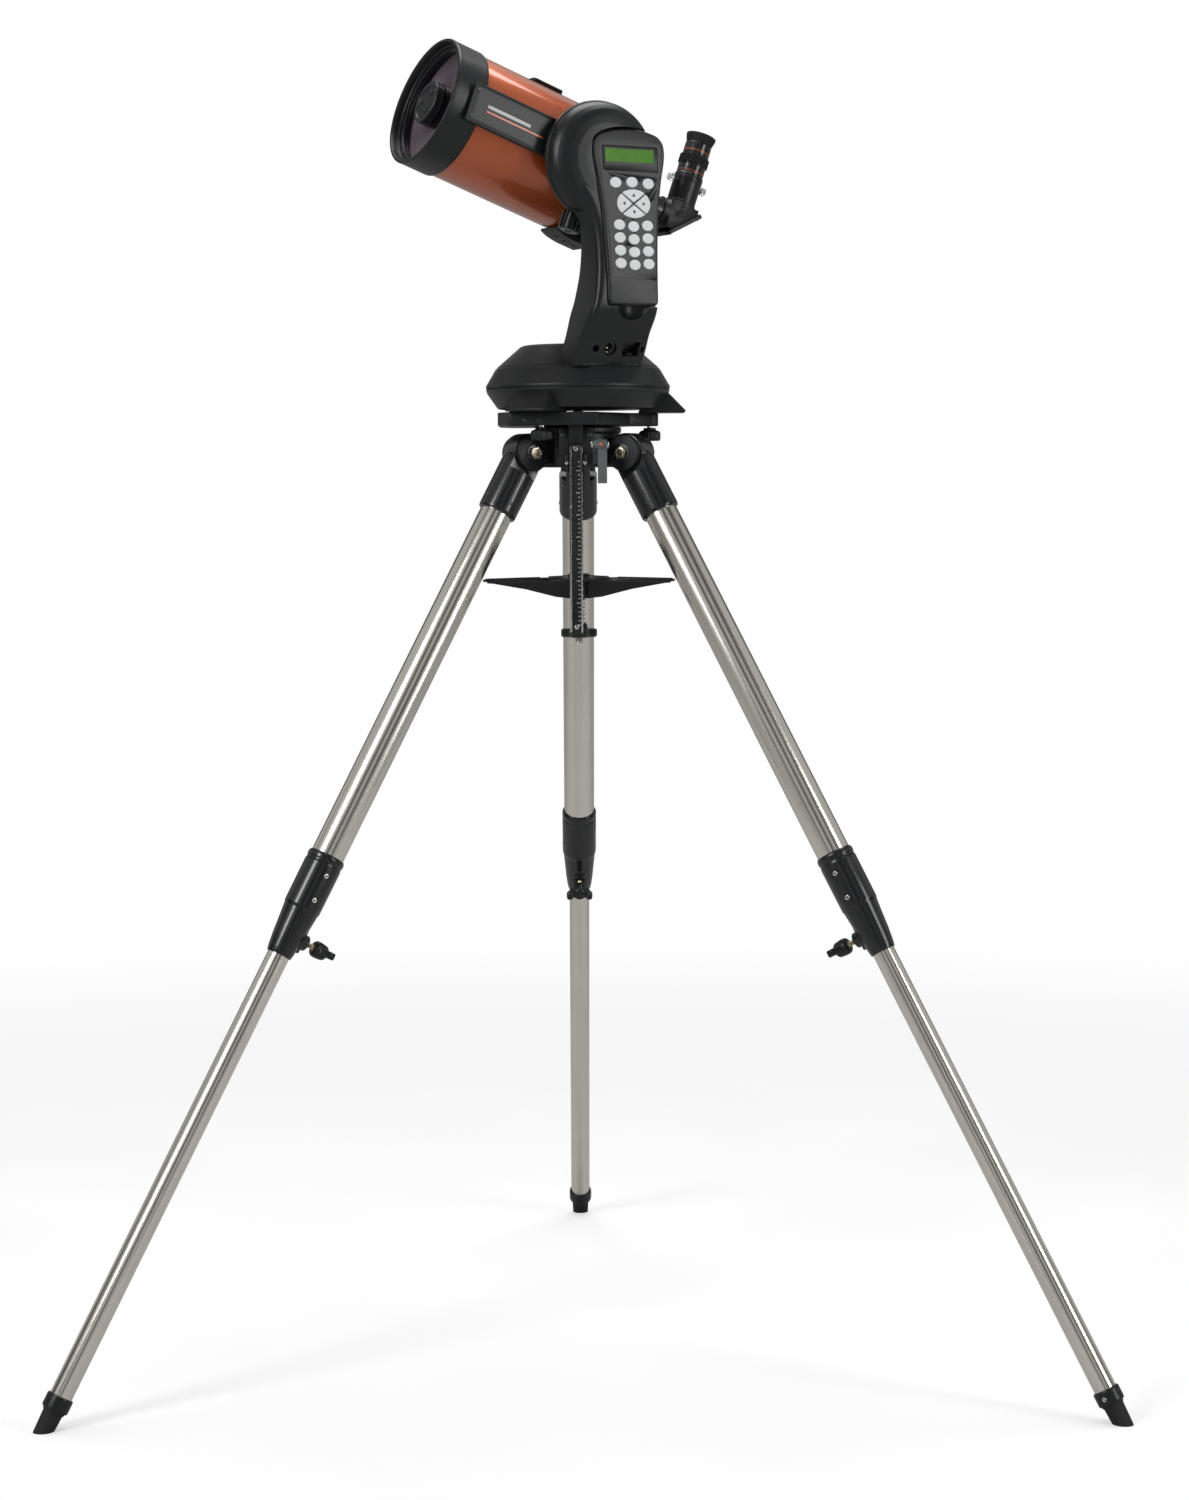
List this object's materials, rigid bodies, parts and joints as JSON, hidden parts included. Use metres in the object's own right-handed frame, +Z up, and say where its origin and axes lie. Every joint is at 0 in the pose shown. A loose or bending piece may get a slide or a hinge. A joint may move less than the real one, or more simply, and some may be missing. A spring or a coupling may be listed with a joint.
{
  "type": "schmidt cassegrain telescope",
  "caption": "Short catadioptric telescope tube on a one-armed computerised mount with a docked hand controller, a tilt plate with latitude bar and a steel tripod with tray.",
  "frame": {"origin": "centre of the footprint box on the floor; the tripod and azimuth axis stands at x 0, y -0.1683", "axes": "+Z up; +Y towards the rear leg, away from the hand controller; +X to the right seen from the front"},
  "size_m": [1.192, 1.0352, 1.5144],
  "materials": {
    "black_casting": "satin black with fine texture",
    "gloss_black": "gloss black",
    "polished_steel": "polished stainless tube",
    "lever_steel": "grey coated lever",
    "black_plastic": "fine textured",
    "rubber": "matt",
    "brass": "machined",
    "orange_paint": "metallic gloss orange",
    "coated_glass": "coated, faint mauve",
    "mirror": "aluminised",
    "pale_key": "pale grey silicone",
    "display": "green display behind a clear window"
  },
  "bodies": {
    "tripod": {"tripod_hub": "black_casting", "tray_rod": "polished_steel"},
    "tray": {"accessory_tray": "black_plastic", "tray_spring": "polished_steel"},
    "tray_knob_body": {"tray_knob": "black_plastic"},
    "leg_1": {"leg_bracket_1": "gloss_black", "upper_tube_1": "polished_steel", "leg_clamp_1": "gloss_black"},
    "leg_extension_1": {"lower_tube_1": "polished_steel", "foot_tip_1": "rubber"},
    "leg_knob_1": {"clamp_knob_1": "black_plastic"},
    "leg_2": {"leg_bracket_2": "gloss_black", "upper_tube_2": "polished_steel", "leg_clamp_2": "gloss_black"},
    "leg_extension_2": {"lower_tube_2": "polished_steel", "foot_tip_2": "rubber"},
    "leg_knob_2": {"clamp_knob_2": "black_plastic"},
    "leg_3": {"leg_bracket_3": "gloss_black", "upper_tube_3": "polished_steel", "leg_clamp_3": "gloss_black"},
    "leg_extension_3": {"lower_tube_3": "polished_steel", "foot_tip_3": "rubber"},
    "leg_knob_3": {"clamp_knob_3": "black_plastic"},
    "tilt_head": {"tilt_plate": "black_casting", "lower_base": "black_casting", "azimuth_worm_wheel": "brass"},
    "latitude_bar_body": {"latitude_bar": "gloss_black"},
    "lock_lever_body": {"lock_lever": "lever_steel"},
    "mounting_knob_body_1": {"mounting_knob_1": "black_plastic"},
    "mounting_knob_body_2": {"mounting_knob_2": "black_plastic"},
    "mounting_knob_body_3": {"mounting_knob_3": "black_plastic"},
    "mount": {"upper_base": "black_casting", "fork_arm": "black_casting", "controller_body": "black_casting", "display_window": "display", "number_keys": "pale_key"},
    "tube": {"altitude_hub": "black_casting", "altitude_worm_wheel": "brass", "dovetail_rail": "black_casting", "optical_tube": "orange_paint", "front_cell": "black_casting", "corrector_plate": "coated_glass", "secondary_housing": "black_casting", "baffle_tube": "black_plastic", "rear_cell": "black_casting", "visual_back": "black_casting", "finder_foot": "black_casting"},
    "clamp_knob_body": {"dovetail_clamp_knob": "black_plastic"},
    "focus_knob_body": {"focus_knob": "rubber"},
    "mirror_body": {"primary_mirror": "mirror"},
    "diagonal_body": {"star_diagonal": "black_casting"},
    "eyepiece_body": {"eyepiece": "gloss_black", "eyecup": "rubber"},
    "soft_key_1_body": {"soft_key_1": "pale_key"},
    "soft_key_2_body": {"soft_key_2": "pale_key"},
    "soft_key_3_body": {"soft_key_3": "pale_key"},
    "direction_key_up_body": {"direction_key_up": "pale_key"},
    "direction_key_down_body": {"direction_key_down": "pale_key"},
    "direction_key_left_body": {"direction_key_left": "pale_key"},
    "direction_key_right_body": {"direction_key_right": "pale_key"}
  },
  "joints": [
    {"name": "leg_fold_1", "type": "hinge", "parent": "tripod", "child": "leg_1", "pos_m": [0, -0.0988, 1.052], "axis": [-1, 0, 0], "range_deg": [0, 12]},
    {"name": "leg_slide_1", "type": "slide", "parent": "leg_1", "child": "leg_extension_1", "axis": [0, 0.4977, -0.8673], "range_m": [-0.4, 0.05], "stiffness_N_per_m": 40000},
    {"name": "clamp_knob_turn_1", "type": "hinge", "parent": "leg_1", "child": "leg_knob_1", "pos_m": [0, 0.2078, 0.51772], "axis": [0, -0.8673, -0.4977], "range_deg": [-360, 0]},
    {"name": "leg_fold_2", "type": "hinge", "parent": "tripod", "child": "leg_2", "pos_m": [-0.06019, -0.20305, 1.052], "axis": [0.5, -0.866, 0], "range_deg": [0, 12]},
    {"name": "leg_slide_2", "type": "slide", "parent": "leg_2", "child": "leg_extension_2", "axis": [-0.431, -0.2489, -0.8673], "range_m": [-0.4, 0.05], "stiffness_N_per_m": 40000},
    {"name": "clamp_knob_turn_2", "type": "hinge", "parent": "leg_2", "child": "leg_knob_2", "pos_m": [-0.32571, -0.35635, 0.51772], "axis": [0.7511, 0.4337, -0.4977], "range_deg": [-360, 0]},
    {"name": "leg_fold_3", "type": "hinge", "parent": "tripod", "child": "leg_3", "pos_m": [0.06019, -0.20305, 1.052], "axis": [0.5, 0.866, 0], "range_deg": [0, 12]},
    {"name": "leg_slide_3", "type": "slide", "parent": "leg_3", "child": "leg_extension_3", "axis": [0.431, -0.2489, -0.8673], "range_m": [-0.4, 0.05], "stiffness_N_per_m": 40000},
    {"name": "clamp_knob_turn_3", "type": "hinge", "parent": "leg_3", "child": "leg_knob_3", "pos_m": [0.32571, -0.35635, 0.51772], "axis": [-0.7511, 0.4337, -0.4977], "range_deg": [-360, 0]},
    {"name": "tray_turn", "type": "hinge", "parent": "tripod", "child": "tray", "pos_m": [0, -0.1683, 0], "axis": [0, 0, 1], "range_deg": [-27.6, 0]},
    {"name": "tray_knob_turn", "type": "hinge", "parent": "tripod", "child": "tray_knob_body", "pos_m": [0, -0.1683, 0.845], "axis": [0, 0, 1], "continuous": true},
    {"name": "tilt", "type": "hinge", "parent": "tripod", "child": "tilt_head", "pos_m": [0, -0.0763, 1.0905], "axis": [-1, 0, 0], "range_deg": [0, 60]},
    {"name": "latitude_bar_swing", "type": "hinge", "parent": "tilt_head", "child": "latitude_bar_body", "pos_m": [-0.003, -0.2459, 1.057], "axis": [-1, 0, 0], "range_deg": [-42.5, 0]},
    {"name": "lock_lever_turn", "type": "hinge", "parent": "tripod", "child": "lock_lever_body", "pos_m": [0.027, -0.2343, 1.061], "axis": [-1, 0, 0], "range_deg": [0, 60]},
    {"name": "mounting_knob_turn_1", "type": "hinge", "parent": "tilt_head", "child": "mounting_knob_body_1", "pos_m": [0.083, -0.1683, 1.07], "axis": [0, 0, 1], "continuous": true},
    {"name": "mounting_knob_turn_2", "type": "hinge", "parent": "tilt_head", "child": "mounting_knob_body_2", "pos_m": [-0.0415, -0.09642, 1.07], "axis": [0, 0, 1], "continuous": true},
    {"name": "mounting_knob_turn_3", "type": "hinge", "parent": "tilt_head", "child": "mounting_knob_body_3", "pos_m": [-0.0415, -0.24018, 1.07], "axis": [0, 0, 1], "continuous": true},
    {"name": "azimuth", "type": "hinge", "parent": "tilt_head", "child": "mount", "pos_m": [0, -0.1683, 1.14], "axis": [0, 0, 1], "continuous": true},
    {"name": "altitude", "type": "hinge", "parent": "mount", "child": "tube", "pos_m": [-0.02197, -0.18023, 1.3831], "axis": [-0.4772, 0.8788, 0], "range_deg": [-30, 70]},
    {"name": "dovetail_clamp_turn", "type": "hinge", "parent": "tube", "child": "clamp_knob_body", "pos_m": [-0.00687, -0.25464, 1.31031], "axis": [0.3006, 0.1632, 0.9397], "continuous": true},
    {"name": "focus_turn", "type": "hinge", "parent": "tube", "child": "focus_knob_body", "pos_m": [0.05514, -0.10309, 1.37803], "axis": [-0.8258, -0.4484, 0.342], "range_deg": [-1080, 1080]},
    {"name": "mirror_shift", "type": "slide", "parent": "tube", "child": "mirror_body", "axis": [-0.8258, -0.4484, 0.342], "range_m": [-0.0046, 0.0046]},
    {"name": "diagonal_turn", "type": "hinge", "parent": "tube", "child": "diagonal_body", "pos_m": [0.08539, -0.12194, 1.33864], "axis": [-0.8258, -0.4484, 0.342], "range_deg": [-90, 90]},
    {"name": "eyepiece_slide", "type": "slide", "parent": "diagonal_body", "child": "eyepiece_body", "axis": [0.3006, 0.1632, 0.9397], "range_m": [0, 0.03]},
    {"name": "soft_key_1_press", "type": "slide", "parent": "mount", "child": "soft_key_1_body", "axis": [-0.476, 0.8767, -0.0698], "range_m": [0, 0.001], "stiffness_N_per_m": 300, "springref_m": -0.0005},
    {"name": "soft_key_2_press", "type": "slide", "parent": "mount", "child": "soft_key_2_body", "axis": [-0.476, 0.8767, -0.0698], "range_m": [0, 0.001], "stiffness_N_per_m": 300, "springref_m": -0.0005},
    {"name": "soft_key_3_press", "type": "slide", "parent": "mount", "child": "soft_key_3_body", "axis": [-0.476, 0.8767, -0.0698], "range_m": [0, 0.001], "stiffness_N_per_m": 300, "springref_m": -0.0005},
    {"name": "direction_key_up_press", "type": "slide", "parent": "mount", "child": "direction_key_up_body", "axis": [-0.476, 0.8767, -0.0698], "range_m": [0, 0.001], "stiffness_N_per_m": 300, "springref_m": -0.0005},
    {"name": "direction_key_down_press", "type": "slide", "parent": "mount", "child": "direction_key_down_body", "axis": [-0.476, 0.8767, -0.0698], "range_m": [0, 0.001], "stiffness_N_per_m": 300, "springref_m": -0.0005},
    {"name": "direction_key_left_press", "type": "slide", "parent": "mount", "child": "direction_key_left_body", "axis": [-0.476, 0.8767, -0.0698], "range_m": [0, 0.001], "stiffness_N_per_m": 300, "springref_m": -0.0005},
    {"name": "direction_key_right_press", "type": "slide", "parent": "mount", "child": "direction_key_right_body", "axis": [-0.476, 0.8767, -0.0698], "range_m": [0, 0.001], "stiffness_N_per_m": 300, "springref_m": -0.0005}
  ],
  "couplings": [
    {"joint": "leg_fold_2", "follows": "leg_fold_1", "ratio": 1},
    {"joint": "leg_fold_3", "follows": "leg_fold_1", "ratio": 1},
    {"joint": "tray_turn", "follows": "leg_fold_1", "ratio": -2.3},
    {"joint": "latitude_bar_swing", "follows": "tilt", "ratio": -0.703},
    {"joint": "mirror_shift", "follows": "focus_turn", "m_per_rad": 0.00023873}
  ]
}
